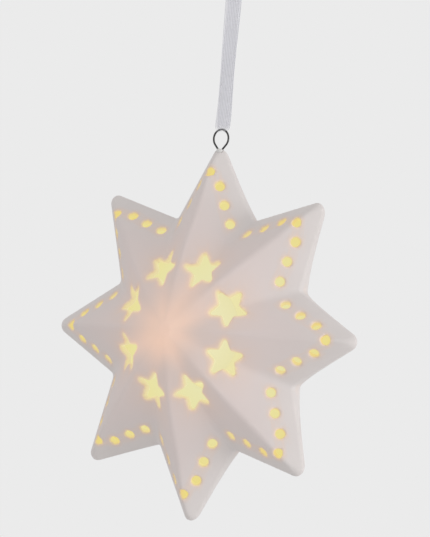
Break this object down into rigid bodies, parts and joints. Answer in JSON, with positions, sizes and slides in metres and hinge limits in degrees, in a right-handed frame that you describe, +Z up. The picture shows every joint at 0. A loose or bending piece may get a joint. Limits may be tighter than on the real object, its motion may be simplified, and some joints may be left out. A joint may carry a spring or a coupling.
{
  "type": "led star ornament",
  "caption": "Hollow, pierced white porcelain star that hangs on a sheer ribbon and is lit from inside by a battery led unit pushed into its back.",
  "frame": {"origin": "where a hook bears inside the ribbon's loop, under its knot, straight above the star's middle", "axes": "+X to the right seen from the front, +Y to the back, +Z up along the ribbon"},
  "size_m": [0.1194, 0.0324, 0.1917],
  "materials": {
    "porcelain": "unglazed, fine matte grain",
    "dark_wire": "dark annealed",
    "glue": "cured, satin",
    "organza": "sheer, fine lengthwise threads",
    "silicone": "translucent matte",
    "white_plastic": "fine moulded texture",
    "board": "green resist",
    "led_epoxy": "clear, warm",
    "tinned_steel": "tinned",
    "resistor_body": "black chip",
    "black_plastic": "moulded",
    "spring_steel": "nickel-plated",
    "cell_steel": "bright, unmarked",
    "screw_steel": "zinc-plated"
  },
  "bodies": {
    "ribbon": {"ribbon_front": "organza", "ribbon_back": "organza", "ribbon_knot": "organza"},
    "star": {"star_shell": "porcelain", "hanger_wire": "dark_wire", "hanger_glue": "glue"},
    "light_unit": {"seal_ring": "silicone", "unit_housing": "white_plastic", "front_cap": "white_plastic", "circuit_board": "board", "led_lens": "led_epoxy", "led_leads": "tinned_steel", "resistor": "resistor_body", "switch_body": "black_plastic", "switch_pins": "tinned_steel", "positive_contact": "spring_steel", "negative_contact": "spring_steel", "coin_cell": "cell_steel"},
    "door": {"battery_door": "white_plastic"},
    "screw": {"door_screw": "screw_steel"},
    "knob": {"switch_knob": "black_plastic"}
  },
  "joints": [
    {"name": "star_swing", "type": "hinge", "parent": "ribbon", "child": "star", "pos_m": [0, 0, -0.0528], "axis": [1, 0, 0], "range_deg": [-60, 60]},
    {"name": "unit_pull", "type": "slide", "parent": "star", "child": "light_unit", "axis": [0, 1, 0], "range_m": [0, 0.024]},
    {"name": "door_lift", "type": "slide", "parent": "light_unit", "child": "door", "axis": [0, 1, 0], "range_m": [0, 0.008]},
    {"name": "screw_turn", "type": "hinge", "parent": "door", "child": "screw", "pos_m": [0.0124, 0.0106, -0.1165], "axis": [0, 1, 0], "continuous": true},
    {"name": "switch_slide", "type": "slide", "parent": "light_unit", "child": "knob", "axis": [1, 0, 0], "range_m": [-0.002, 0]}
  ]
}
